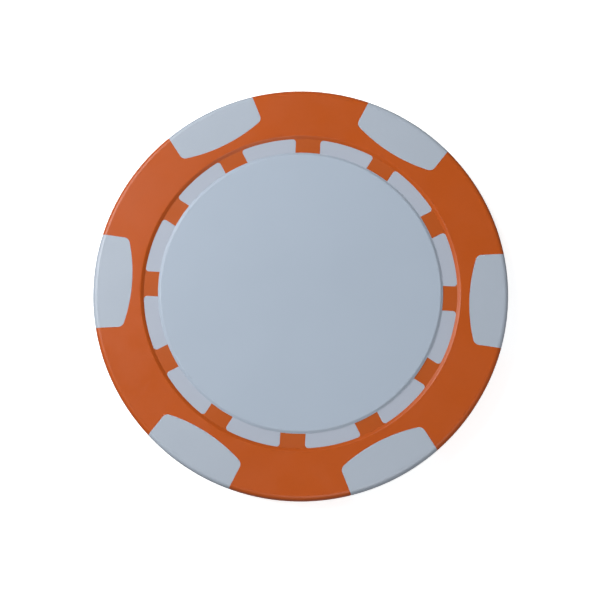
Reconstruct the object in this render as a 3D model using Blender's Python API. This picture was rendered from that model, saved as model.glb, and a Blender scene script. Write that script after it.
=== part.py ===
"""Golf ball marker in the form of a gaming chip: a steel weight, two shots of plastic and two labels.

Metres, +Z up. The chip lies flat, its underside on Z = 0 and its axis on Z, with an edge spot and a tooth
centred on +X. The two faces are alike, so what is above the middle plane is repeated below it.

White plastic is moulded round the steel weight first. Its six arms pass through the windows of the orange
plastic, which is moulded round it second, so neither shot can leave the other. The locating pins that hold
the weight in the mould leave small holes, and the labels cover them.
"""

import math

import bmesh
import bpy
from mathutils import Matrix, Vector

MM = 0.001

# The chip as a whole.
CHIP_RADIUS = 20.0 * MM
CHIP_THICKNESS = 3.4 * MM
EDGE_ROUND = 0.45 * MM
MIDDLE = CHIP_THICKNESS / 2
SEAM = 0.05 * MM  # room between pieces that are bonded or trapped in the real chip

# The sunk ring on each face, between the orange rim and the label.
GROOVE_RADIUS = 15.05 * MM
GROOVE_DEPTH = 0.22 * MM
GROOVE_WALL_SLOPE = 0.35 * MM  # how far the wall leans outwards between the groove's floor and the rim
UPPER_FLOOR = CHIP_THICKNESS - GROOVE_DEPTH

# The white edge spots: splayed sides, and an inner end that is an arc with rounded corners.
SPOT_COUNT = 6
SPOT_END_RADIUS = 16.2 * MM  # from the chip's axis to the middle of the inner end
SPOT_END_ARC = 15.4 * MM
SPOT_CORNER = 0.6 * MM
SPOT_HALF_WIDTH = 4.44 * MM
SPOT_WIDTH_RADIUS = 18.0 * MM  # where the half width is measured
SPOT_SPLAY = math.radians(5.5)  # each side's angle to the spot's own centre line

# The arms that join the spots to the white hub through the rim's windows.
ARM_HALF_WIDTH = 3.6 * MM
ARM_HALF_HEIGHT = 0.7 * MM
ARM_INNER_RADIUS = 14.0 * MM
ARM_OUTER_RADIUS = 17.4 * MM

# The orange teeth, which lie in the groove's floor and end under the label.
TOOTH_COUNT = 12
TOOTH_HALF_WIDTH = 1.2 * MM
TOOTH_THICKNESS = 0.4 * MM
TOOTH_TIP_RADIUS = 13.25 * MM
TOOTH_ROOT_RADIUS = 15.7 * MM

# The labels, one in the middle of each face.
LABEL_RADIUS = 13.68 * MM
LABEL_THICKNESS = 0.15 * MM
LABEL_EDGE_SLOPE = 0.3 * MM  # how far in from its outline the label reaches its full thickness
LABEL_EDGE_HEIGHT = 0.03 * MM

# The steel weight, and the holes that plastic flows through.
SLUG_RADIUS = 13.0 * MM
SLUG_THICKNESS = 1.7 * MM
SLUG_CHAMFER = 0.15 * MM
FLOW_HOLE_COUNT = 6
FLOW_HOLE_RADIUS = 1.3 * MM
FLOW_HOLE_CIRCLE = 8.0 * MM

# The mould's locating pins.
PIN_COUNT = 3
PIN_RADIUS = 0.8 * MM
PIN_PHASE = math.radians(30)

# How finely round shapes are faceted, and the merge distance of points that coincide.
TURN_STEPS = 144
HOLE_STEPS = 24
ROUND_STEPS = 3
SPOT_END_STEPS = 9
SPOT_CORNER_STEPS = 4
MERGE = 0.0001 * MM
OVERRUN = 1.0 * MM  # how far a cutter runs past the face that it cuts
SMOOTH_BELOW = math.radians(35)

ORANGE = (0.5, 0.085, 0.008)
WHITE = (0.5, 0.56, 0.64)
LABEL_WHITE = (0.49, 0.56, 0.65)
STEEL = (0.55, 0.55, 0.56)


def clear_scene():
    for item in list(bpy.data.objects):
        bpy.data.objects.remove(item)


def plastic_or_metal(name, colour, roughness, metallic):
    material = bpy.data.materials.new(name)
    material.use_nodes = True
    shader = material.node_tree.nodes["Principled BSDF"]
    shader.inputs["Base Color"].default_value = (*colour, 1.0)
    shader.inputs["Roughness"].default_value = roughness
    shader.inputs["Metallic"].default_value = metallic
    material.diffuse_color = (*colour, 1.0)
    return material


def finished_object(name, shape):
    """An object made from a bmesh, with outward normals, and smooth except at its sharp edges."""
    bmesh.ops.recalc_face_normals(shape, faces=shape.faces)
    mesh = bpy.data.meshes.new(name)
    shape.to_mesh(mesh)
    shape.free()
    mesh.shade_smooth()
    mesh.set_sharp_from_angle(angle=SMOOTH_BELOW)
    piece = bpy.data.objects.new(name, mesh)
    bpy.context.scene.collection.objects.link(piece)
    return piece


def turned(name, profile, steps=TURN_STEPS, is_ring=False):
    """A solid turned about Z from (radius, height) points. A ring's profile closes on itself."""
    shape = bmesh.new()
    points = [shape.verts.new((radius, 0.0, height)) for radius, height in profile]
    pairs = list(zip(points, points[1:]))
    if is_ring:
        pairs.append((points[-1], points[0]))
    edges = [shape.edges.new(pair) for pair in pairs]
    bmesh.ops.spin(
        shape,
        geom=points + edges,
        cent=(0, 0, 0),
        axis=(0, 0, 1),
        angle=2 * math.pi,
        steps=steps,
        use_merge=True,
    )
    bmesh.ops.remove_doubles(shape, verts=shape.verts, dist=MERGE)
    return finished_object(name, shape)


def prism(name, outline, low, high):
    """A straight-sided solid over a closed outline of (x, y) points, between two heights."""
    shape = bmesh.new()
    base = shape.faces.new([shape.verts.new((x, y, low)) for x, y in outline])
    raised = bmesh.ops.extrude_face_region(shape, geom=[base])["geom"]
    top = [item for item in raised if isinstance(item, bmesh.types.BMVert)]
    bmesh.ops.translate(shape, verts=top, vec=(0, 0, high - low))
    return finished_object(name, shape)


def arc(centre, radius, start, end, steps):
    """Points along an arc, both ends included, in the plane of the centre's two coordinates."""
    angles = [start + (end - start) * step / steps for step in range(steps + 1)]
    return [(centre[0] + radius * math.cos(a), centre[1] + radius * math.sin(a)) for a in angles]


def rectangle(low_x, high_x, half_width):
    return [(low_x, -half_width), (high_x, -half_width), (high_x, half_width), (low_x, half_width)]


def helper(piece):
    """Marks a piece as a cutter, which isn't part of the chip."""
    piece.hide_render = True
    piece.display_type = "WIRE"
    return piece


def repeated(pieces, count, group_name, phase=0.0):
    """Copies of cutters or additions, equally spaced about the chip's axis, in a collection of their own."""
    group = bpy.data.collections.new(group_name)
    bpy.context.scene.collection.children.link(group)
    for piece in pieces:
        bpy.context.scene.collection.objects.unlink(piece)
        for index in range(count):
            copy = bpy.data.objects.new(f"{group_name}_{piece.name}_{index + 1:02d}", piece.data)
            turn = Matrix.Rotation(phase + 2 * math.pi * index / count, 4, "Z")
            copy.matrix_world = turn @ piece.matrix_world
            group.objects.link(helper(copy))
        bpy.data.objects.remove(piece)
    return group


def combine(piece, operation, others):
    """Cuts away or joins on one object, or every object of a collection."""
    boolean = piece.modifiers.new(operation.lower(), "BOOLEAN")
    boolean.operation = operation
    boolean.solver = "EXACT"
    if isinstance(others, bpy.types.Collection):
        boolean.operand_type = "COLLECTION"
        boolean.collection = others
    else:
        boolean.object = others


def chip_edge():
    """The chip's rounded outer edge as (radius, height) points, from the underside up to the top."""
    centre_radius = CHIP_RADIUS - EDGE_ROUND
    lower = arc((centre_radius, EDGE_ROUND), EDGE_ROUND, -math.pi / 2, 0.0, ROUND_STEPS)
    upper = arc((centre_radius, CHIP_THICKNESS - EDGE_ROUND), EDGE_ROUND, 0.0, math.pi / 2, ROUND_STEPS)
    return lower + upper


def spot_outline(grow):
    """An edge spot seen from above, centred on +X, grown outwards by a distance, and run past the chip's edge.

    The inner end is an arc about a point on +X beyond it. Each corner is a circle that touches that arc from
    inside and touches the side's line, so its centre is where a line parallel to the side meets a circle.
    """
    end_arc = SPOT_END_ARC + grow
    corner = SPOT_CORNER + grow
    arc_centre = Vector((SPOT_END_RADIUS + SPOT_END_ARC, 0.0))
    along = Vector((math.cos(SPOT_SPLAY), math.sin(SPOT_SPLAY)))
    outward = Vector((-along.y, along.x))
    side_point = Vector((SPOT_WIDTH_RADIUS, SPOT_HALF_WIDTH)) + outward * grow
    from_centre = side_point - outward * corner - arc_centre
    across = from_centre.dot(along)
    travel = -across - math.sqrt(across**2 - from_centre.length_squared + (end_arc - corner) ** 2)
    corner_centre = arc_centre + from_centre + along * travel
    toward_corner = corner_centre - arc_centre
    end_angle = math.atan2(toward_corner.y, toward_corner.x)
    side_angle = math.atan2(outward.y, outward.x)
    side_end = side_point + along * (CHIP_RADIUS + OVERRUN - side_point.x) / along.x

    upper = [(side_end.x, side_end.y)]
    upper += arc(corner_centre, corner, side_angle, end_angle, SPOT_CORNER_STEPS)
    end = arc(arc_centre, end_arc, end_angle, 2 * math.pi - end_angle, SPOT_END_STEPS)
    lower = [(x, -y) for x, y in reversed(upper)]
    return upper + end[1:-1] + lower


def arm_box(grow):
    """One arm between the hub and a spot, grown by a distance all round."""
    outline = rectangle(ARM_INNER_RADIUS, ARM_OUTER_RADIUS, ARM_HALF_WIDTH + grow)
    return prism("arm", outline, MIDDLE - ARM_HALF_HEIGHT - grow, MIDDLE + ARM_HALF_HEIGHT + grow)


def spots_and_arms(grow, group_name):
    """The room of all the edge spots and their arms."""
    spot = prism("spot", spot_outline(grow), -OVERRUN, CHIP_THICKNESS + OVERRUN)
    return repeated([spot, arm_box(grow)], SPOT_COUNT, group_name)


def teeth(grow, rise, group_name):
    """All the teeth of both faces, grown by a distance, and run on by another distance past the floor."""
    outline = rectangle(TOOTH_TIP_RADIUS - grow, TOOTH_ROOT_RADIUS, TOOTH_HALF_WIDTH + grow)
    upper = prism("upper", outline, UPPER_FLOOR - TOOTH_THICKNESS - grow, UPPER_FLOOR + rise)
    lower = prism("lower", outline, GROOVE_DEPTH - rise, GROOVE_DEPTH + TOOTH_THICKNESS + grow)
    return repeated([upper, lower], TOOTH_COUNT, group_name)


def upright_cylinders(name, radius, circle, count, low, high, phase=0.0):
    """Upright cylinders equally spaced on a circle about the chip's axis."""
    outline = arc((circle, 0.0), radius, 0.0, 2 * math.pi, HOLE_STEPS)[:-1]
    return repeated([prism("post", outline, low, high)], count, name, phase)


def make_steel_slug():
    """The round steel weight, chamfered, with a circle of flow holes."""
    half = SLUG_THICKNESS / 2
    rim = SLUG_RADIUS - SLUG_CHAMFER
    side = half - SLUG_CHAMFER
    profile = [(0, -half), (rim, -half), (SLUG_RADIUS, -side), (SLUG_RADIUS, side), (rim, half), (0, half)]
    slug = turned("steel_slug", profile)
    slug.location.z = MIDDLE
    high = MIDDLE + half + OVERRUN
    low = MIDDLE - half - OVERRUN
    holes = upright_cylinders("flow_hole", FLOW_HOLE_RADIUS, FLOW_HOLE_CIRCLE, FLOW_HOLE_COUNT, low, high)
    combine(slug, "DIFFERENCE", holes)
    return slug


def slug_room():
    """The weight's hollow in the white plastic, with a post in each flow hole, and pin holes to both faces."""
    half = SLUG_THICKNESS / 2 + SEAM
    radius = SLUG_RADIUS + SEAM
    room = helper(turned("slug_room", [(0, -half), (radius, -half), (radius, half), (0, half)]))
    room.location.z = MIDDLE
    radius = FLOW_HOLE_RADIUS - SEAM
    low = MIDDLE - half - OVERRUN
    high = MIDDLE + half + OVERRUN
    posts = upright_cylinders("flow_post", radius, FLOW_HOLE_CIRCLE, FLOW_HOLE_COUNT, low, high)
    combine(room, "DIFFERENCE", posts)
    low = GROOVE_DEPTH - OVERRUN
    high = UPPER_FLOOR + OVERRUN
    pins = upright_cylinders("pin", PIN_RADIUS, FLOW_HOLE_CIRCLE, PIN_COUNT, low, high, PIN_PHASE)
    combine(room, "UNION", pins)
    return room


def rim_room():
    """What the white plastic leaves free for the orange rim: a ring without the spots and the arms."""
    inner = GROOVE_RADIUS - SEAM
    outer = CHIP_RADIUS + 2 * OVERRUN
    low = -2 * OVERRUN
    high = CHIP_THICKNESS + 2 * OVERRUN
    ring = turned("rim_room", [(inner, low), (outer, low), (outer, high), (inner, high)], is_ring=True)
    combine(ring, "DIFFERENCE", spots_and_arms(0.0, "white_spot"))
    return helper(ring)


def make_white_core():
    """The first shot: a hub with the groove floors, the posts, the pin holes, six arms and six edge spots."""
    profile = [(0, GROOVE_DEPTH), (GROOVE_RADIUS, GROOVE_DEPTH), (GROOVE_RADIUS + GROOVE_WALL_SLOPE, 0)]
    profile += chip_edge()
    profile += [
        (GROOVE_RADIUS + GROOVE_WALL_SLOPE, CHIP_THICKNESS),
        (GROOVE_RADIUS, UPPER_FLOOR),
        (0, UPPER_FLOOR),
    ]
    core = turned("white_core", profile)
    combine(core, "DIFFERENCE", rim_room())
    combine(core, "DIFFERENCE", teeth(SEAM, OVERRUN, "tooth_pocket"))
    combine(core, "DIFFERENCE", slug_room())
    return core


def make_orange_rim():
    """The second shot: a rim with an opening for each edge spot and arm, and teeth into both groove floors."""
    profile = [(GROOVE_RADIUS, GROOVE_DEPTH), (GROOVE_RADIUS + GROOVE_WALL_SLOPE, 0)]
    profile += chip_edge()
    profile += [(GROOVE_RADIUS + GROOVE_WALL_SLOPE, CHIP_THICKNESS), (GROOVE_RADIUS, UPPER_FLOOR)]
    rim = turned("orange_rim", profile, is_ring=True)
    combine(rim, "DIFFERENCE", spots_and_arms(SEAM, "orange_opening"))
    combine(rim, "UNION", teeth(0.0, 0.0, "orange_tooth"))
    return rim


def make_label(name):
    """A round blank label whose upper edge is bevelled, its lower face on Z = 0."""
    top = [(LABEL_RADIUS - LABEL_EDGE_SLOPE, LABEL_THICKNESS), (0, LABEL_THICKNESS)]
    return turned(name, [(0, 0), (LABEL_RADIUS, 0), (LABEL_RADIUS, LABEL_EDGE_HEIGHT)] + top)


def main():
    clear_scene()
    marker = bpy.data.objects.new("ball_marker", None)
    bpy.context.scene.collection.objects.link(marker)

    front_label = make_label("front_label")
    front_label.location.z = UPPER_FLOOR + SEAM
    back_label = make_label("back_label")
    back_label.rotation_euler.x = math.pi
    back_label.location.z = GROOVE_DEPTH - SEAM

    moulded_white = plastic_or_metal("moulded_white", WHITE, 0.42, 0.0)
    moulded_orange = plastic_or_metal("moulded_orange", ORANGE, 0.42, 0.0)
    label_white = plastic_or_metal("label_white", LABEL_WHITE, 0.35, 0.0)
    weight_steel = plastic_or_metal("weight_steel", STEEL, 0.4, 1.0)
    for piece, material in (
        (make_steel_slug(), weight_steel),
        (make_white_core(), moulded_white),
        (make_orange_rim(), moulded_orange),
        (front_label, label_white),
        (back_label, label_white),
    ):
        piece.data.materials.append(material)
        piece.parent = marker


main()
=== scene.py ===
"""The looks of a golf ball marker shaped like a gaming chip: two shots of plastic, two labels, a weight.

The chip lies flat with its underside on z = 0, its axis on z and an edge spot and a tooth centred on +X.
Each shot of plastic is a closed skin. Every sheet of it is worked out once, for the upper half of the half
sector between 0 and 30 degrees, and then repeated by turning and mirroring, because the chip is symmetric.
"""

from __future__ import annotations

import logging
import math
from dataclasses import dataclass
from enum import Enum

import bmesh
import bpy
import numpy as np
from mathutils import Matrix, Vector


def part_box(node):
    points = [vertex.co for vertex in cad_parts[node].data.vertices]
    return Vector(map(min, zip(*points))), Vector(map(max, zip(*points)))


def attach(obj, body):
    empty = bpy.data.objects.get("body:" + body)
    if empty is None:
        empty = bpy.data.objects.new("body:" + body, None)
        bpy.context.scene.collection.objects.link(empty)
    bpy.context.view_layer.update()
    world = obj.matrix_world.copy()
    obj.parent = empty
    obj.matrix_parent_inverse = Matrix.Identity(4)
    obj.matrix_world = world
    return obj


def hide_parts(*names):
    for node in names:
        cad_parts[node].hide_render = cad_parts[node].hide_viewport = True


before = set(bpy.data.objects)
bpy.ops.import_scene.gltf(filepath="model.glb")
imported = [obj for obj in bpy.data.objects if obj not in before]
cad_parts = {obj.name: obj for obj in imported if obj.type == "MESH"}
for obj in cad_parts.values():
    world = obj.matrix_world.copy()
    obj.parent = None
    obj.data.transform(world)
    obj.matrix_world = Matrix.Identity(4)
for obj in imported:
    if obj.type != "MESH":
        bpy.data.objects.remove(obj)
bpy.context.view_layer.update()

LOG = logging.getLogger("ball_marker")
MM = 0.001
Array = np.ndarray
Colour = tuple[float, float, float]
Place = tuple[float, float, float]
Range = tuple[float, float]
Socket = bpy.types.NodeSocket

SECTORS = 6
HALF_SECTOR = math.pi / SECTORS
QUARTER_TURN = math.pi / 2
FULL_TURN = 2 * math.pi
WELD = 1e-4 * MM  # how near points of neighbouring sheets are made one
SHARP_ANGLE = math.radians(25)

FULL_RANGE = (0.0, 1.0)
MOST_OF_NOISE = (0.3, 0.7)  # the range that holds nearly all of a noise's values
WHITE = (1.0, 1.0, 1.0)


def polar(radius: Array | float, angle: Array | float, height: Array | float) -> Array:
    """Points about the chip's axis.

    Args:
        radius: Distances from the axis.
        angle: Angles about it, in radians from +X.
        height: Heights above the surface that the chip lies on.

    Returns:
        An array whose last axis is x, y, z, with the shape that the three inputs broadcast to.
    """
    radius, angle, height = np.broadcast_arrays(radius, angle, height)
    return np.stack((radius * np.cos(angle), radius * np.sin(angle), height), axis=-1)


def direction(angle: Array | float) -> Array:
    """Unit vectors in the plane, at angles from +X."""
    return np.stack((np.cos(angle), np.sin(angle)), axis=-1)


def lifted(plan: Array, height: Array | float) -> Array:
    """Points of a plan, given a height each or all together."""
    height = np.broadcast_to(height, plan.shape[:-1])
    return np.concatenate((plan, height[..., None]), axis=-1)


@dataclass(frozen=True)
class ChipForm:
    """The sizes that both shots of plastic share, in metres and radians."""

    radius: float
    thickness: float
    edge_round: float = 0.45 * MM
    edge_draft: float = 0.03 * MM  # how far the side wall leans out, from the rounding to the middle
    witness_height: float = 0.02 * MM  # the mould's witness line round the middle of the edge
    witness_half_width: float = 0.06 * MM

    groove_radius: float = 15.05 * MM
    groove_depth: float = 0.22 * MM
    groove_wall_slope: float = 0.3 * MM
    groove_wall_round: float = 0.2 * MM

    spot_end_radius: float = 16.2 * MM
    spot_end_arc: float = 15.4 * MM
    spot_corner: float = 0.6 * MM
    spot_half_width: float = 4.44 * MM
    spot_width_radius: float = 18.0 * MM
    spot_splay: float = math.radians(5.5)

    arm_half_width: float = 3.6 * MM
    arm_half_height: float = 0.7 * MM

    tooth_half_width: float = 1.2 * MM
    tooth_tip_radius: float = 13.25 * MM
    tooth_thickness: float = 0.4 * MM
    tooth_root_round: float = 0.3 * MM

    seam_round: float = 0.02 * MM  # how softly each colour's skin turns down where the two meet
    seam_turn: float = math.radians(60)
    hold: float = 0.05 * MM  # width of the narrow flat next to a rounding, which keeps wide faces flat
    corner_room: float = 0.1 * MM  # how far the lines beside a tooth keep off its corners
    hub_margin: float = 0.35 * MM  # how far inside the teeth's tips the hub floor's outer strip starts

    EDGE_STEPS = 8
    WALL_ROUND_STEPS = 5
    SEAM_STEPS = 3

    @classmethod
    def from_frame(cls) -> ChipForm:
        """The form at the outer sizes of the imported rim."""
        _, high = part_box("orange_rim")
        return cls(radius=high.y, thickness=high.z)

    @property
    def middle(self) -> float:
        """Height of the plane that the two faces mirror in."""
        return self.thickness / 2

    @property
    def floor(self) -> float:
        """Height of the upper groove's floor."""
        return self.thickness - self.groove_depth

    @property
    def hub_circle(self) -> float:
        """Radius of the circle on the hub's floor from which a strip of faces runs out to the teeth."""
        return self.tooth_tip_radius - self.hub_margin

    @property
    def arm_top(self) -> float:
        """Height of the upper side of the arms that hold the spots."""
        return self.middle + self.arm_half_height

    def edge_rows(self) -> tuple[Array, Array, Array, Array]:
        """The chip's outer edge in section, from where its rounding starts down to the middle plane.

        A quarter circle, then a wall that leans out by the draft, then half of the witness line's ridge.

        Returns:
            Radii, heights, and the radial and upward parts of the outward normal, one value for each row.
        """
        wall = self.radius - self.witness_height
        start = wall - self.edge_draft - self.edge_round
        turn = np.linspace(0, QUARTER_TURN, self.EDGE_STEPS + 1)
        ridge = self.witness_half_width
        shoulder = self.thickness - self.edge_round - self.hold
        radii = (wall - self.edge_draft, wall - self.witness_height / 4, wall)
        heights = (shoulder, self.middle + ridge + self.hold, self.middle + ridge)
        radii += (self.radius - self.witness_height / 4, self.radius, self.radius)
        heights += (self.middle + ridge * 2 / 3, self.middle + ridge / 3, self.middle)
        radius = np.concatenate((start + self.edge_round * np.sin(turn), radii))
        height = np.concatenate((self.thickness - self.edge_round * (1 - np.cos(turn)), heights))
        normal_r = np.concatenate((np.sin(turn), np.ones(len(radii))))
        normal_z = np.concatenate((np.cos(turn), np.zeros(len(radii))))
        return radius, height, normal_r, normal_z

    def groove_wall_rows(self) -> tuple[Array, Array]:
        """The groove's outer wall in section, from the floor up and over its rounding on to the flat rim.

        A straight slope, then an arc that touches the slope and the rim's flat top.

        Returns:
            Radii and heights, one value for each row.
        """
        lean = math.atan2(self.groove_depth, self.groove_wall_slope)
        reach = self.groove_wall_round * math.tan(lean / 2)
        centre_radius = self.groove_radius + self.groove_wall_slope + reach
        turn = np.linspace(QUARTER_TURN + lean, QUARTER_TURN, self.WALL_ROUND_STEPS + 1)
        arc_radius = centre_radius + self.groove_wall_round * np.cos(turn)
        arc_height = self.thickness - self.groove_wall_round * (1 - np.sin(turn))
        below = (arc_radius[0] - self.hold * math.cos(lean), arc_height[0] - self.hold * math.sin(lean))
        radius = np.concatenate(((self.groove_radius, below[0]), arc_radius, (centre_radius + self.hold,)))
        height = np.concatenate(((self.floor, below[1]), arc_height, (self.thickness,)))
        return radius, height

    def seam_rows(self) -> tuple[Array, Array]:
        """How a skin turns down at a seam: along a short arc.

        Returns:
            Distances from the seam and depths under the skin, from the flat skin to the seam itself.
        """
        turn = np.linspace(0, self.seam_turn, self.SEAM_STEPS + 1)
        distance = self.seam_round * (math.sin(self.seam_turn) - np.sin(turn))
        return distance, self.seam_round * (1 - np.cos(turn))


class HubPath:
    """The line on the groove's floor where the white hub meets the orange teeth and the groove's wall.

    It runs from 0 to 30 degrees: along half of a tooth's tip, down its side, round the root's corner and
    along the groove's wall to 15 degrees, and then the same again in mirror image.
    """

    TIP_STEPS = 4
    ROOT_STEPS = 5
    WALL_STEPS = 9
    TIP_SHARE = 0.94  # angle of the tip's last station on the groove's wall, in tooth corners there
    ROOT_SHARES = (1.06, 1.25)  # angles of the root's stations on the hub's circle, likewise

    def __init__(self, form: ChipForm) -> None:
        """Works out the stations along the line."""
        self.form = form
        root = form.tooth_root_round
        centre_y = form.tooth_half_width + root
        centre_x = math.sqrt((form.groove_radius - root) ** 2 - centre_y**2)
        self.root_centre = np.array((centre_x, centre_y))
        self.root_angle = math.atan2(centre_y, centre_x)
        arm_angle = math.asin(form.arm_half_width / form.groove_radius)
        corner_angle = math.asin((form.tooth_half_width - form.corner_room) / form.groove_radius)
        quarter = HALF_SECTOR / 2
        wall = np.linspace(self.root_angle, arm_angle, self.WALL_STEPS + 1)[1:]
        tip = np.linspace(0, corner_angle * self.TIP_SHARE, self.TIP_STEPS + 1)
        root_turn = np.linspace(corner_angle, self.root_angle, self.ROOT_STEPS + 1)
        rim_angles = np.concatenate((tip, root_turn, wall, (quarter,)))
        self.arm_count = len(rim_angles) - 1
        self.rim_angles = self._mirrored_angles(rim_angles)
        self.hub_angles = self._mirrored_angles(self._hub_angles(rim_angles))
        root_ease = np.linspace(1, 0, len(root_turn))
        ease = np.concatenate((np.ones(len(tip)), root_ease, np.zeros(len(wall) + 1)))
        self.ease = np.concatenate((ease, ease[-2::-1]))

    def _hub_angles(self, rim_angles: Array) -> Array:
        """Angles on a circle inside the tips, opened out so that no line to the path crosses a tooth."""
        form = self.form
        corner = math.asin((form.tooth_half_width + form.corner_room) / form.hub_circle)
        tip = np.linspace(0, corner, self.TIP_STEPS + 1)
        first, last = self.ROOT_SHARES
        root = np.linspace(corner * first, corner * last, self.ROOT_STEPS + 1)
        end = rim_angles[-1]
        share = (rim_angles[len(tip) + len(root) :] - self.root_angle) / (end - self.root_angle)
        return np.concatenate((tip, root, root[-1] + (end - root[-1]) * share))

    @staticmethod
    def _mirrored_angles(angles: Array) -> Array:
        """Angles up to 15 degrees, followed by their mirror image up to 30."""
        return np.concatenate((angles, HALF_SECTOR - angles[-2::-1]))

    def plan(self, inset: float, hold: float = 0.0) -> Array:
        """The line seen from above, moved off the seam.

        Args:
            inset: Distance into the white, or into the orange where it is negative. It eases to nothing
                along the root's corner, because the groove's wall stands on the line from there on.
            hold: A further distance into the white, which is the same all along the line.

        Returns:
            Points (x, y), one for each station.
        """
        form = self.form
        both = inset + hold
        tip_y = np.linspace(0, form.tooth_half_width + both, self.TIP_STEPS + 1)
        tip = np.stack((np.full_like(tip_y, form.tooth_tip_radius - both), tip_y), axis=-1)
        ease = self.ease[self.TIP_STEPS + 1 :][: self.ROOT_STEPS + 1]
        turn = np.linspace(-QUARTER_TURN, self.root_angle, self.ROOT_STEPS + 1)
        root_round = (form.tooth_root_round - hold - inset * ease)[:, None]
        root = self.root_centre + root_round * direction(turn)
        wall_angles = self.rim_angles[len(tip) + len(root) :][: self.WALL_STEPS + 1]
        wall = (form.groove_radius - hold) * direction(wall_angles)
        first = np.concatenate((tip, root, wall))
        cosine, sine = math.cos(HALF_SECTOR), math.sin(HALF_SECTOR)
        mirror = np.array(((cosine, sine), (sine, -cosine)))
        return np.concatenate((first, first[-2::-1] @ mirror))

    def on_floor(self, inset: float, depth: float, hold: float = 0.0) -> Array:
        """The line on the floor, moved off the seam and sunk by a depth that eases as the inset does."""
        return lifted(self.plan(inset, hold), self.form.floor - depth * self.ease)

    def on_wall(self, height: float) -> Array:
        """The groove wall's circle at a height, at the line's stations."""
        return polar(self.form.groove_radius, self.rim_angles, height)


class SpotPath:
    """The line where half of an edge spot meets the orange.

    It runs from the middle of the spot's inner end along that end's arc, round the corner, out along the
    splayed side and down the chip's edge to the middle plane.
    """

    END_STEPS = 4
    CORNER_STEPS = 6
    SIDE_STEPS = 4

    def __init__(self, form: ChipForm, arm_y: Array) -> None:
        """Works out the parts of the line that don't depend on the inset.

        Args:
            form: The chip's sizes.
            arm_y: Distances off the spot's centre line of the stations that lie across half of its arm.
        """
        self.form = form
        self.along = direction(form.spot_splay)
        self.outward = np.array((-self.along[1], self.along[0]))
        self.side_point = np.array((form.spot_width_radius, form.spot_half_width))
        self.arc_centre = np.array((form.spot_end_radius + form.spot_end_arc, 0.0))
        inner = form.spot_end_arc - form.spot_corner
        start = self.side_point - self.outward * form.spot_corner - self.arc_centre
        across = start @ self.along
        travel = -across - math.sqrt(across**2 - start @ start + inner**2)
        toward_corner = start + self.along * travel
        self.corner_centre = self.arc_centre + toward_corner
        corner_angle = math.atan2(toward_corner[1], toward_corner[0])
        tangent_y = form.spot_end_arc * math.sin(corner_angle)
        end_y = np.concatenate((arm_y, np.linspace(arm_y[-1], tangent_y, self.END_STEPS)[1:]))
        self.end_angles = np.pi - np.arcsin(end_y / form.spot_end_arc)
        side_angle = math.atan2(self.outward[1], self.outward[0])
        self.corner_angles = np.linspace(corner_angle, side_angle, self.CORNER_STEPS + 1)[1:]
        self.edge_radius, edge_height, edge_normal_r, edge_normal_z = form.edge_rows()
        on_top = len(self.end_angles) + len(self.corner_angles) + self.SIDE_STEPS
        self.height = np.concatenate((np.full(on_top, form.thickness), edge_height))
        self.normal_r = np.concatenate((np.zeros(on_top), edge_normal_r))
        self.normal_z = np.concatenate((np.ones(on_top), edge_normal_z))
        self.inner_count = len(self.end_angles) + len(self.corner_angles)

    def plan(self, inset: float) -> Array:
        """The line seen from above, moved off the seam.

        Each arc keeps its centre and changes its radius. The side stays straight, and its points are where
        it crosses circles about the chip's axis.

        Args:
            inset: Distance into the white, or into the orange where it is negative.

        Returns:
            Points (x, y), one for each station.
        """
        form = self.form
        end = self.arc_centre + (form.spot_end_arc - inset) * direction(self.end_angles)
        corner = self.corner_centre + (form.spot_corner - inset) * direction(self.corner_angles)
        first = float(np.hypot(*corner[-1]))
        flat = np.linspace(first, self.edge_radius[0] - form.hold, self.SIDE_STEPS + 1)[1:]
        radii = np.concatenate((flat, self.edge_radius))
        start = self.side_point - self.outward * inset
        across = start @ self.along
        travel = -across + np.sqrt(across**2 - start @ start + radii**2)
        side = start + travel[:, None] * self.along
        return np.concatenate((end, corner, side))

    def on_skin(self, inset: float, depth: float) -> Array:
        """The line on the skin, moved off the seam by an inset and sunk by a depth along the normal."""
        plan = self.plan(inset)
        radius = np.hypot(plan[:, 0], plan[:, 1]) - depth * self.normal_r
        return polar(radius, np.arctan2(plan[:, 1], plan[:, 0]), self.height - depth * self.normal_z)


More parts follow.
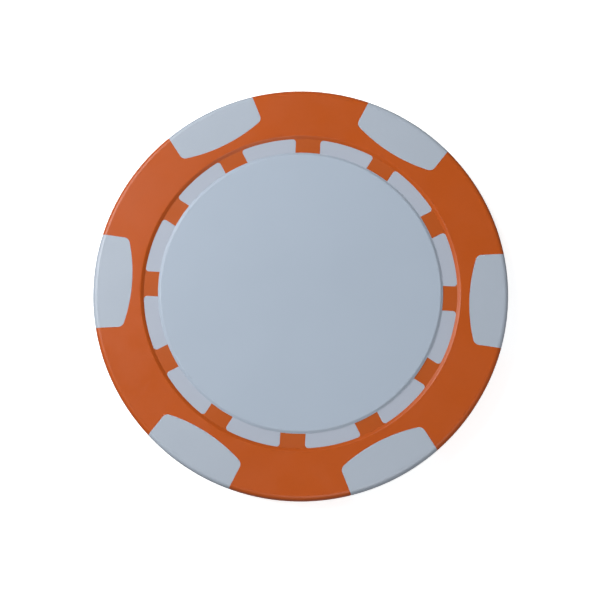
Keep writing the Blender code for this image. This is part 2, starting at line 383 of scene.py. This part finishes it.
class Skin:
    """Collects the sheets of one closed shape, and makes the mesh from them and their repeats."""

    def __init__(self) -> None:
        """Starts with no sheets."""
        self.points: list[Array] = []
        self.faces: list[Array] = []
        self.count = 0

    def add(self, grid: Array, keep: Array | None = None) -> None:
        """Adds one sheet.

        Args:
            grid: Points of shape (rows, columns, 3).
            keep: Which cells are there, of shape (rows - 1, columns - 1), or None for all of them.
        """
        rows, columns = grid.shape[:2]
        index = np.arange(rows * columns).reshape(rows, columns) + self.count
        corners = (index[:-1, :-1], index[:-1, 1:], index[1:, 1:], index[1:, :-1])
        cells = np.stack(corners, axis=-1)
        self.faces.append(cells[keep] if keep is not None else cells.reshape(-1, 4))
        self.points.append(grid.reshape(-1, 3))
        self.count += rows * columns

    def repeated(self, middle: float) -> tuple[Array, Array]:
        """All sheets in every sector, and mirrored across the spot's centre line and the middle plane.

        Args:
            middle: Height of the middle plane.

        Returns:
            Points (n, 3) and quads (m, 4).
        """
        points = np.concatenate(self.points)
        faces = np.concatenate(self.faces)
        turns = [np.array(Matrix.Rotation(2 * HALF_SECTOR * step, 3, "Z")) for step in range(SECTORS)]
        mirrors = [np.array((1.0, side, face)) for side in (1.0, -1.0) for face in (1.0, -1.0)]
        shift = np.array((0.0, 0.0, middle))
        copies = [((points - shift) * mirror) @ turn.T + shift for turn in turns for mirror in mirrors]
        quads = [faces + len(points) * step for step in range(len(copies))]
        return np.concatenate(copies), np.concatenate(quads)

    def build(self, name: str, middle: float, hollow: Array | None = None) -> bpy.types.Object:
        """Makes the object.

        Args:
            name: The piece's name.
            middle: Height of the plane that its two faces mirror in.
            hollow: A sheet that closes on itself, whose faces are turned to face the room inside it.

        Returns:
            The object, smooth except at its sharp edges, with its faces outwards.
        """
        shape = welded(*self.repeated(middle))
        bmesh.ops.recalc_face_normals(shape, faces=shape.faces)
        if hollow is not None:
            room = one_sheet(hollow)
            bmesh.ops.recalc_face_normals(room, faces=room.faces)
            bmesh.ops.reverse_faces(room, faces=room.faces)
            spare = bpy.data.meshes.new("room")
            room.to_mesh(spare)
            room.free()
            shape.from_mesh(spare)
            bpy.data.meshes.remove(spare)
        return finished(name, shape)


def welded(points: Array, faces: Array) -> bmesh.types.BMesh:
    """A bmesh of quads whose coinciding points are made one, without the faces that collapse.

    Args:
        points: Points (n, 3).
        faces: Quads (m, 4) of indices into them.

    Returns:
        The bmesh.
    """
    mesh = bpy.data.meshes.new("sheets")
    mesh.from_pydata(points, [], faces)
    shape = bmesh.new()
    shape.from_mesh(mesh)
    bpy.data.meshes.remove(mesh)
    bmesh.ops.remove_doubles(shape, verts=shape.verts, dist=WELD)
    bmesh.ops.dissolve_degenerate(shape, edges=shape.edges, dist=WELD)
    return shape


def one_sheet(grid: Array) -> bmesh.types.BMesh:
    """A bmesh of a single sheet of points, of shape (rows, columns, 3)."""
    skin = Skin()
    skin.add(grid)
    return welded(skin.points[0], skin.faces[0])


def finished(name: str, shape: bmesh.types.BMesh) -> bpy.types.Object:
    """An object made from a bmesh, shaded smooth except at its sharp edges."""
    mesh = bpy.data.meshes.new(name)
    shape.to_mesh(mesh)
    shape.free()
    mesh.polygons.foreach_set("use_smooth", np.ones(len(mesh.polygons), dtype=bool))
    mesh.set_sharp_from_angle(angle=SHARP_ANGLE)
    piece = bpy.data.objects.new(name, mesh)
    bpy.context.scene.collection.objects.link(piece)
    return piece


def turned(radius: Array, height: Array, columns: int) -> Array:
    """A sheet made by carrying a section, a radius and a height for each row, once round the axis."""
    return polar(radius[:, None], np.linspace(0, FULL_TURN, columns + 1), height[:, None])


class TwoShotMoulding:
    """The two shots of plastic, which share every surface at which they meet."""

    def __init__(self, form: ChipForm) -> None:
        """Works out the lines along which the two colours meet."""
        self.form = form
        self.hub = HubPath(form)
        arm_angles = self.hub.rim_angles[: self.hub.arm_count]
        self.spot = SpotPath(form, form.groove_radius * np.sin(arm_angles))
        self.distance, self.depth = form.seam_rows()

    def add_meeting_faces(self, skin: Skin) -> None:
        """Adds the hidden faces that both colours have: round teeth, hub, arms and spots.

        The arms' sheets run between the hub's wall and the spot's inner end, and both walls leave out the
        cells that the arms pass through.
        """
        form = self.form
        count = self.hub.arm_count
        seam = self.hub.on_floor(0.0, self.depth[-1])
        tooth_bottom = form.floor - form.tooth_thickness
        below = lifted(self.hub.plan(0.0), tooth_bottom)
        skin.add(np.stack((seam, below, self.hub.on_wall(tooth_bottom))))

        wall = np.stack([self.hub.on_wall(height) for height in (tooth_bottom, form.arm_top, form.middle)])
        keep = np.ones((2, wall.shape[1] - 1), dtype=bool)
        keep[1, : count - 1] = False
        skin.add(wall, keep)

        line = self.spot.on_skin(0.0, self.depth[-1])
        stations = len(line)
        arm_height = np.where(np.arange(stations) < self.spot.inner_count, form.arm_top, form.middle)
        levels = (line, lifted(line[:, :2], arm_height), lifted(line[:, :2], form.middle))
        keep = np.ones((2, stations - 1), dtype=bool)
        keep[1, : count - 1] = False
        skin.add(np.stack(levels), keep)

        hub_edge, spot_edge = wall[1, :count], levels[1][:count]
        skin.add(np.stack((hub_edge, spot_edge)))
        corners = np.stack((hub_edge[-1], spot_edge[-1]))
        skin.add(np.stack((corners, lifted(corners[:, :2], form.middle))))

    def seam_strip(self, side: float) -> Array:
        """The skin beside an edge spot's seam: the white's for 1, the orange's for -1."""
        rows = [self.spot.on_skin(side * (self.distance[0] + self.form.hold), 0.0)]
        for distance, depth in zip(self.distance, self.depth):
            rows.append(self.spot.on_skin(side * distance, depth))
        return np.stack(rows)

    def floor_strip(self, side: float) -> Array:
        """The groove's floor beside the teeth's seam: the white's for 1, the orange's for -1."""
        hold = self.form.hold
        if side > 0:
            rows = [self.hub.on_floor(self.distance[0], 0.0, hold)]
        else:
            rows = [self.hub.on_floor(-self.distance[0] - hold, 0.0)]
        for distance, depth in zip(self.distance, self.depth):
            rows.append(self.hub.on_floor(side * distance, depth))
        return np.stack(rows)

    @staticmethod
    def as_polar(line: Array) -> tuple[Array, Array, Array]:
        """A line of points as radii, angles about the chip's axis, and heights."""
        return np.hypot(line[:, 0], line[:, 1]), np.arctan2(line[:, 1], line[:, 0]), line[:, 2]


class OrangeRim(TwoShotMoulding):
    """The second shot: the rim with its teeth, windows and openings for the edge spots."""

    def build(self) -> bpy.types.Object:
        """Builds the rim.

        The face between two spots is made of arcs about the chip's axis: each starts beside the spot's
        seam and runs, at one radius and height, to the middle of the land. The band inside it is turned.
        """
        skin = Skin()
        strip = self.seam_strip(-1.0)
        radius, angle, height = (values[:, None] for values in self.as_polar(strip[0]))
        share = self.hub.rim_angles / HALF_SECTOR
        skin.add(polar(radius, angle + (HALF_SECTOR - angle) * share, height))
        skin.add(strip)

        wall_radius, wall_height = self.form.groove_wall_rows()
        band_radius = np.append(wall_radius, radius[0, 0])
        band_height = np.append(wall_height, self.form.thickness)
        skin.add(polar(band_radius[:, None], self.hub.rim_angles, band_height[:, None]))
        skin.add(np.concatenate((self.hub.on_wall(self.form.floor)[None], self.floor_strip(-1.0))))
        self.add_meeting_faces(skin)
        return skin.build("orange_rim_moulding", self.form.middle)


class WhiteCore(TwoShotMoulding):
    """The first shot: hub, arms and edge spots, with the room for the weight inside it."""

    SPOT_COLUMNS = 12
    ROOM_COLUMNS = 120
    ROOM_GAP = 0.05 * MM

    def build(self) -> bpy.types.Object:
        """Builds the core.

        A spot's face is made of arcs about the chip's axis, from its centre line to beside its seam. The
        hub's floor runs from the axis out to a circle inside the teeth's tips, and from there to the seam.
        """
        skin = Skin()
        strip = self.seam_strip(1.0)
        radius, angle, height = (values[:, None] for values in self.as_polar(strip[0]))
        share = np.linspace(0, 1, self.SPOT_COLUMNS + 1)
        skin.add(polar(radius, angle * share, height))
        skin.add(strip)

        centre = polar(0.0, self.hub.hub_angles, self.form.floor)
        circle = polar(self.form.hub_circle, self.hub.hub_angles, self.form.floor)
        skin.add(np.concatenate((np.stack((centre, circle)), self.floor_strip(1.0))))
        self.add_meeting_faces(skin)
        return skin.build("white_core_moulding", self.form.middle, self.weight_room())

    def weight_room(self) -> Array:
        """The hollow that holds the weight: a flat round room, carried once round the axis."""
        low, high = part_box("steel_slug")
        edge = high.x + self.ROOM_GAP
        bottom, top = low.z - self.ROOM_GAP, high.z + self.ROOM_GAP
        radius = np.array((0.0, edge, edge, 0.0))
        height = np.array((bottom, bottom, top, top))
        return turned(radius, height, self.ROOM_COLUMNS)


class Face(Enum):
    """Which face of the chip a label is on, by its CAD node's name."""

    FRONT = "front_label"
    BACK = "back_label"


@dataclass(frozen=True)
class CentreLabel:
    """A blank round label that stands on the groove's floor, with a soft outer edge."""

    form: ChipForm
    face: Face
    edge_slope: float = 0.3 * MM  # width of the soft bevel
    edge_height: float = 0.03 * MM  # height of the upright edge under it
    foot_gap: float = 0.004 * MM  # how far the foot keeps off the groove's floor
    bevel_wave: float = 0.85 * math.pi  # how much of the wave the bevel follows

    BEVEL_STEPS = 12
    COLUMNS = 360

    def build(self) -> bpy.types.Object:
        """Builds the label: a flat top, a bevel that falls like a cosine wave, and an upright edge."""
        low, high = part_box(self.face.value)
        edge = high.x
        top = high.z if self.face is Face.FRONT else self.form.thickness - low.z
        foot = self.form.floor + self.foot_gap
        share = np.linspace(0, 1, self.BEVEL_STEPS + 1)
        fall = (1 - np.cos(self.bevel_wave * share)) / (1 - math.cos(self.bevel_wave))
        bevel_radius = edge - self.edge_slope * (1 - share)
        bevel_height = top - (top - foot - self.edge_height) * fall
        inner = bevel_radius[0] - self.form.hold
        radius = np.concatenate(((0.0, inner), bevel_radius, (edge, edge - self.form.hold, 0.0)))
        height = np.concatenate(((top, top), bevel_height, (foot, foot, foot)))
        if self.face is Face.BACK:
            height = self.form.thickness - height
        shape = one_sheet(turned(radius, height, self.COLUMNS))
        bmesh.ops.recalc_face_normals(shape, faces=shape.faces)
        return finished(f"{self.face.value}_disc", shape)


def scaled(colour: Colour, factor: float) -> Colour:
    """A colour made lighter or darker."""
    red, green, blue = (channel * factor for channel in colour)
    return red, green, blue


@dataclass(frozen=True)
class Hairlines:
    """Fine parallel scratches: the peaks of a noise that is stretched along them."""

    scale: Place  # the noise's blotches in a metre, along each axis after the turn
    turn: float = 0.0
    peaks: Range = FULL_RANGE  # the noise's values between which a scratch fades in


class NodeBench:
    """Adds shader nodes to one material and joins them."""

    def __init__(self, name: str) -> None:
        """Starts a material with a Principled shader."""
        self.material = bpy.data.materials.new(name)
        self.material.use_nodes = True
        self.tree = self.material.node_tree
        self.shader = self.tree.nodes["Principled BSDF"]
        self.place = self.add("ShaderNodeTexCoord").outputs["Object"]

    def add(self, kind: str, **settings: str | bool) -> bpy.types.Node:
        """A node of one kind, with its settings."""
        node = self.tree.nodes.new(kind)
        for name, value in settings.items():
            setattr(node, name, value)
        return node

    def feed(self, socket: Socket, value: Socket | float | Colour) -> None:
        """Joins a socket to another one, or gives it a value of its own."""
        if isinstance(value, Socket):
            self.tree.links.new(value, socket)
        elif isinstance(value, tuple):
            socket.default_value = (*value, 1.0)
        else:
            socket.default_value = value

    def stretched(self, lines: Hairlines) -> Socket:
        """The piece's own coordinates, turned about the axis and then stretched."""
        turned_place = self.add("ShaderNodeMapping")
        turned_place.inputs["Rotation"].default_value = (0.0, 0.0, lines.turn)
        self.feed(turned_place.inputs["Vector"], self.place)
        mapping = self.add("ShaderNodeMapping")
        mapping.inputs["Scale"].default_value = lines.scale
        self.feed(mapping.inputs["Vector"], turned_place.outputs["Vector"])
        return mapping.outputs["Vector"]

    def patches(self, size: float, amount: float) -> Socket:
        """A value that wanders between minus and plus an amount, over patches about a size across."""
        return self.ranged(self.noise(size, detail=3.0), MOST_OF_NOISE, (-amount, amount))

    def scratches(self, lines: Hairlines, strength: float) -> Socket:
        """A value that is the strength on the hairlines and nothing between them."""
        return self.ranged(self.noise(1.0, place=self.stretched(lines)), lines.peaks, (0.0, strength))

    def noise(self, size: float, detail: float = 2.0, place: Socket | None = None) -> Socket:
        """Noise from 0 to 1 whose blotches are about a size across, in metres."""
        node = self.add("ShaderNodeTexNoise")
        node.inputs["Scale"].default_value = 1 / size
        node.inputs["Detail"].default_value = detail
        self.feed(node.inputs["Vector"], place or self.place)
        return node.outputs["Fac"]

    def ranged(self, value: Socket, start: Range, end: Range) -> Socket:
        """A value carried smoothly from one range to another, and held at its ends."""
        node = self.add("ShaderNodeMapRange", interpolation_type="SMOOTHSTEP")
        self.feed(node.inputs["Value"], value)
        for name, limit in zip(("From Min", "From Max", "To Min", "To Max"), (*start, *end)):
            node.inputs[name].default_value = limit
        return node.outputs["Result"]

    def summed(self, first: Socket, second: Socket | float) -> Socket:
        """The sum of two values."""
        node = self.add("ShaderNodeMath", operation="ADD")
        self.feed(node.inputs[0], first)
        self.feed(node.inputs[1], second)
        return node.outputs["Value"]

    def blended(self, share: Socket, first: Socket | Colour, second: Socket | Colour) -> Socket:
        """A colour between two others."""
        node = self.add("ShaderNodeMix", data_type="RGBA")
        colours = [socket for socket in node.inputs if socket.type == "RGBA"]
        self.feed(node.inputs["Factor"], share)
        self.feed(colours[0], first)
        self.feed(colours[1], second)
        return next(socket for socket in node.outputs if socket.type == "RGBA")

    def varied(self, share: Socket, colour: Colour, amount: float) -> Socket:
        """A colour made darker and lighter, by up to an amount that is a share of it."""
        return self.blended(share, scaled(colour, 1 - amount), scaled(colour, 1 + amount))

    def bumped(self, height: Socket, depth: float, after: Socket | None = None) -> Socket:
        """A normal disturbed by a height whose full range is a depth in metres."""
        node = self.add("ShaderNodeBump")
        node.inputs["Distance"].default_value = depth
        self.feed(node.inputs["Height"], height)
        if after is not None:
            self.feed(node.inputs["Normal"], after)
        return node.outputs["Normal"]

    def off_axis(self) -> Socket:
        """Distance from the chip's axis."""
        flat = self.add("ShaderNodeVectorMath", operation="MULTIPLY")
        flat.inputs[1].default_value = (1.0, 1.0, 0.0)
        self.feed(flat.inputs[0], self.place)
        length = self.add("ShaderNodeVectorMath", operation="LENGTH")
        self.feed(length.inputs[0], flat.outputs["Vector"])
        return length.outputs["Value"]

    def finish(self, base: Socket, roughness: Socket, normal: Socket) -> None:
        """Joins the shader's colour, roughness and normal."""
        self.feed(self.shader.inputs["Base Color"], base)
        self.feed(self.shader.inputs["Roughness"], roughness)
        self.feed(self.shader.inputs["Normal"], normal)


@dataclass(frozen=True)
class MouldedPlastic:
    """Satin injection-moulded plastic: a fine moulded grain, faint flow clouds, and a worn outer edge.

    In the sunk groove the colour is a darker, duller copy of itself: painted shade. The white's copy is
    barely darker and is mostly a faint warm tint.
    """

    name: str
    colour: Colour
    # the colour in the sunk groove: a darker copy of the colour, painted shade
    groove_painted_shade_colour: Colour
    cloud: float  # how much the colour varies, as a share of it
    form: ChipForm
    specular: float = 0.38
    roughness: float = 0.34
    uneven: float = 0.035  # how much the roughness varies
    scratched: float = 0.035  # how much hairlines add to the roughness
    worn: float = 0.16  # how much wear adds to it at the outer edge
    worn_width: float = 0.5 * MM
    along: Hairlines = Hairlines((2600.0, 160.0, 2600.0), 0.6, (0.66, 0.72))
    across: Hairlines = Hairlines((170.0, 2300.0, 2300.0), 0.25, (0.67, 0.73))
    painted_shade_blend: Range = (-0.05 * MM, 0.15 * MM)  # where the land's colour blends into the groove's painted shade, past the wall's foot
    cloud_size: float = 7 * MM
    speckle_size: float = 0.35 * MM
    patch_size: float = 2.2 * MM
    grain_size: float = 0.11 * MM
    grain_depth: float = 0.0022 * MM
    wave_size: float = 3.5 * MM
    wave_depth: float = 0.012 * MM

    def material(self) -> bpy.types.Material:
        """The material, with every pattern on the piece's own coordinates."""
        bench = NodeBench(self.name)
        bench.finish(self._base(bench), self._roughness(bench), self._normal(bench))
        bench.shader.inputs["Specular IOR Level"].default_value = self.specular
        return bench.material

    def _base(self, bench: NodeBench) -> Socket:
        """The land's colour and the groove's painted shade, both mottled by clouds and a fine speckle,
        which blend at the groove's wall.
        """
        clouds = bench.ranged(bench.noise(self.cloud_size, detail=3.0), MOST_OF_NOISE, (0.0, 0.75))
        speckle = bench.ranged(bench.noise(self.speckle_size), (0.35, 0.65), (0.0, 0.25))
        mottle = bench.summed(clouds, speckle)
        # the groove's colour: a darker copy of the plastic's, painted shade in the sunk groove
        inside = bench.varied(mottle, self.groove_painted_shade_colour, self.cloud)
        outside = bench.varied(mottle, self.colour, self.cloud)
        start, end = (self.form.groove_radius + distance for distance in self.painted_shade_blend)
        past_wall = bench.ranged(bench.off_axis(), (start, end), FULL_RANGE)
        return bench.blended(past_wall, inside, outside)

    def _roughness(self, bench: NodeBench) -> Socket:
        """Patches, the worn outer edge, and two sets of hairlines, added to the plain roughness."""
        edge_start = self.form.radius - self.worn_width
        worn = bench.ranged(bench.off_axis(), (edge_start, self.form.radius), (0.0, self.worn))
        patches = bench.patches(self.patch_size, self.uneven)
        along = bench.scratches(self.along, self.scratched)
        across = bench.scratches(self.across, self.scratched)
        added = bench.summed(bench.summed(patches, worn), bench.summed(along, across))
        return bench.summed(added, self.roughness)

    def _normal(self, bench: NodeBench) -> Socket:
        """The fine moulded grain on slow shrinkage waves."""
        grain = bench.bumped(bench.noise(self.grain_size), self.grain_depth)
        return bench.bumped(bench.noise(self.wave_size, detail=1.0), self.wave_depth, grain)


@dataclass(frozen=True)
class PrintableVinyl:
    """Blank printable vinyl: very even in colour, with a faint pressed texture."""

    name: str = "blank_vinyl"
    colour: Colour = (0.331, 0.388, 0.464)
    cloud: float = 0.008  # how much the colour varies, as a share of it
    specular: float = 0.4
    roughness: float = 0.4
    uneven: float = 0.03  # how much the roughness varies
    scratched: float = 0.04  # how much hairlines add to it
    along: Hairlines = Hairlines((2400.0, 150.0, 2400.0), 1.1, (0.68, 0.74))
    cloud_size: float = 9 * MM
    patch_size: float = 3 * MM
    grain_size: float = 0.18 * MM
    grain_depth: float = 0.0012 * MM

    def material(self) -> bpy.types.Material:
        """The material, with every pattern on the piece's own coordinates."""
        bench = NodeBench(self.name)
        clouds = bench.ranged(bench.noise(self.cloud_size), MOST_OF_NOISE, FULL_RANGE)
        base = bench.varied(clouds, self.colour, self.cloud)
        patches = bench.patches(self.patch_size, self.uneven)
        along = bench.scratches(self.along, self.scratched)
        roughness = bench.summed(bench.summed(patches, along), self.roughness)
        pressed = bench.bumped(bench.noise(self.grain_size), self.grain_depth)
        bench.finish(base, roughness, pressed)
        bench.shader.inputs["Specular IOR Level"].default_value = self.specular
        return bench.material


@dataclass(frozen=True)
class PunchedSteel:
    """Plain sheet steel, rolled in one direction and dulled by deburring."""

    name: str = "punched_steel"
    colour: Colour = (0.48, 0.48, 0.49)
    shades: Range = (0.8, 1.15)  # the darkest and lightest rolling lines, as shares of the colour
    roughness: Range = (0.34, 0.5)
    rolling: Hairlines = Hairlines((140.0, 5200.0, 5200.0))
    rolling_depth: float = 0.002 * MM
    patch_size: float = 1.5 * MM

    def material(self) -> bpy.types.Material:
        """The material, with its rolling lines along one direction of the piece."""
        bench = NodeBench(self.name)
        lines = bench.noise(1.0, detail=3.0, place=bench.stretched(self.rolling))
        base = bench.blended(lines, *(scaled(self.colour, shade) for shade in self.shades))
        patches = bench.noise(self.patch_size, detail=3.0)
        roughness = bench.ranged(patches, MOST_OF_NOISE, self.roughness)
        bench.finish(base, roughness, bench.bumped(lines, self.rolling_depth))
        bench.shader.inputs["Metallic"].default_value = 1.0
        return bench.material


@dataclass(frozen=True)
class StudioPaper:
    """The pale paper of the floor and the backdrop, which glows a little of itself."""

    name: str = "studio_paper"
    colour: Colour = (0.93, 0.93, 0.93)
    cloud: float = 0.005  # how much the colour varies, as a share of it
    specular: float = 0.1
    roughness: Range = (0.85, 0.95)
    glow: float = 0.55
    cloud_size: float = 30 * MM
    grain_size: float = 0.4 * MM
    grain_depth: float = 0.002 * MM

    def material(self) -> bpy.types.Material:
        """Matt paper with a very faint unevenness."""
        bench = NodeBench(self.name)
        clouds = bench.noise(self.cloud_size)
        base = bench.varied(clouds, self.colour, self.cloud)
        roughness = bench.ranged(clouds, FULL_RANGE, self.roughness)
        bench.finish(base, roughness, bench.bumped(bench.noise(self.grain_size), self.grain_depth))
        bench.shader.inputs["Specular IOR Level"].default_value = self.specular
        bench.shader.inputs["Emission Color"].default_value = (*WHITE, 1.0)
        bench.shader.inputs["Emission Strength"].default_value = self.glow
        return bench.material


@dataclass(frozen=True)
class Softbox:
    """A square area light that points at the chip."""

    name: str
    place: Place
    side: float
    watts: float
    colour: Colour = WHITE

    def light(self, target: Vector) -> None:
        """Adds the light to the scene, turned towards a target."""
        lamp = bpy.data.lights.new(self.name, "AREA")
        lamp.shape = "SQUARE"
        lamp.size = self.side
        lamp.energy = self.watts
        lamp.color = self.colour
        holder = bpy.data.objects.new(self.name, lamp)
        holder.location = self.place
        aim = (target - Vector(self.place)).to_track_quat("-Z", "Y")
        holder.rotation_euler = aim.to_euler()
        holder.visible_camera = False
        bpy.context.scene.collection.objects.link(holder)


@dataclass(frozen=True)
class Studio:
    """The floor, the backdrop, the lights and the camera."""

    form: ChipForm
    floor_side: float = 4.0
    floor_gap: float = 0.01 * MM  # how far the paper lies under the chip
    backdrop_start: float = 1.2  # radius at which the backdrop leaves the floor
    backdrop_bend: float = 0.5
    backdrop_height: float = 1.8
    key: Softbox = Softbox("key_softbox", (-0.115, 0.06, 0.125), 0.12, 0.367)
    fill: Softbox = Softbox("fill_softbox", (0.12, -0.25, 0.38), 0.3, 0.80)
    surround: Colour = (0.97, 0.99, 1.0)
    surround_strength: float = 0.24
    camera_place: Place = (2.64 * MM, -24.09 * MM, 145.17 * MM)
    camera_aim: Place = (0.01 * MM, -0.9 * MM, 3.4 * MM)
    camera_roll: float = math.radians(-3.554)
    lens: float = 90.0
    sensor: float = 36.0
    nearest: float = 0.01  # how near to the camera things are still seen

    FLOOR_STEPS = 4
    BEND_STEPS = 12
    BACKDROP_COLUMNS = 96

    def build(self) -> None:
        """Builds the whole studio."""
        paper = StudioPaper().material()
        self._floor(paper)
        self._backdrop(paper)
        self._world()
        target = Vector((0.0, 0.0, self.form.thickness))
        self.key.light(target)
        self.fill.light(target)
        self._camera()

    def _sheet(self, name: str, grid: Array, paper: bpy.types.Material) -> bpy.types.Object:
        """A sheet of the stage's paper, which sends no light back on to the chip.

        Args:
            name: The sheet's name.
            grid: Its points, of shape (rows, columns, 3).
            paper: Its finish.

        Returns:
            The sheet, shaded smooth.
        """
        sheet = finished(name, one_sheet(grid))
        dress(sheet, paper)
        sheet.visible_diffuse = False
        sheet.visible_glossy = False
        return sheet

    def _floor(self, paper: bpy.types.Material) -> None:
        """A flat square of paper just under the chip."""
        line = np.linspace(-self.floor_side / 2, self.floor_side / 2, self.FLOOR_STEPS + 1)
        x, y = np.meshgrid(line, line, indexing="ij")
        self._sheet("studio_floor", np.stack((x, y, np.full_like(x, -self.floor_gap)), axis=-1), paper)

    def _backdrop(self, paper: bpy.types.Material) -> None:
        """A wall all round, seen by the camera only: a quarter circle up from the floor, then upright."""
        turn = np.linspace(0, QUARTER_TURN, self.BEND_STEPS + 1)
        radius = self.backdrop_start + self.backdrop_bend * np.append(np.sin(turn), 1.0)
        height = np.append(self.backdrop_bend * (1 - np.cos(turn)), self.backdrop_height)
        wall = self._sheet("studio_backdrop", turned(radius, height, self.BACKDROP_COLUMNS), paper)
        wall.visible_shadow = False

    def _world(self) -> None:
        """An even, soft surround."""
        world = bpy.data.worlds.new("surround")
        world.use_nodes = True
        background = world.node_tree.nodes["Background"]
        background.inputs["Color"].default_value = (*self.surround, 1.0)
        background.inputs["Strength"].default_value = self.surround_strength
        bpy.context.scene.world = world

    def _camera(self) -> None:
        """A camera that looks down on the chip, a little tilted towards its near side."""
        lens = bpy.data.cameras.new("camera")
        lens.lens = self.lens
        lens.sensor_width = self.sensor
        lens.clip_start = self.nearest
        camera = bpy.data.objects.new("camera", lens)
        place = Vector(self.camera_place)
        aim = (Vector(self.camera_aim) - place).to_track_quat("-Z", "Y").to_matrix().to_4x4()
        camera.matrix_world = Matrix.Translation(place) @ aim @ Matrix.Rotation(self.camera_roll, 4, "Z")
        bpy.context.scene.collection.objects.link(camera)
        bpy.context.scene.camera = camera


def dress(piece: bpy.types.Object, material: bpy.types.Material) -> None:
    """Gives a piece one material in place of any that it has."""
    piece.data.materials.clear()
    piece.data.materials.append(material)


def place_piece(piece: bpy.types.Object, node: str, material: bpy.types.Material) -> None:
    """Dresses a new piece, ties it to the frame, and logs it.

    Args:
        piece: The new piece.
        node: The CAD node that it stands for.
        material: Its finish.
    """
    dress(piece, material)
    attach(piece, "root")
    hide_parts(node)
    LOG.info("%s stands for %s: %d faces", piece.name, node, len(piece.data.polygons))


def main() -> None:
    """Builds the pieces in order, then the studio."""
    logging.basicConfig(level=logging.INFO, format="%(name)s: %(message)s")
    bpy.context.scene.view_settings.view_transform = "Standard"
    form = ChipForm.from_frame()
    white = MouldedPlastic(
        name="moulded_white_abs",
        colour=(0.342, 0.386, 0.448),
        # a barely darker, faintly warm copy of the white: painted shade in the groove
        groove_painted_shade_colour=(0.345, 0.379, 0.446),
        cloud=0.012,
        form=form,
    ).material()
    orange = MouldedPlastic(
        name="moulded_orange_abs",
        colour=(0.4, 0.0665, 0.003),
        # a darker, duller copy of the orange: painted shade in the groove
        groove_painted_shade_colour=(0.376, 0.069, 0.0055),
        cloud=0.03,
        form=form,
    ).material()
    vinyl = PrintableVinyl().material()

    place_piece(WhiteCore(form).build(), "white_core", white)
    place_piece(OrangeRim(form).build(), "orange_rim", orange)
    for face in Face:
        place_piece(CentreLabel(form, face).build(), face.value, vinyl)
    dress(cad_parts["steel_slug"], PunchedSteel().material())
    LOG.info("steel_slug keeps its CAD shape")

    Studio(form).build()


if __name__ == "__main__":
    main()
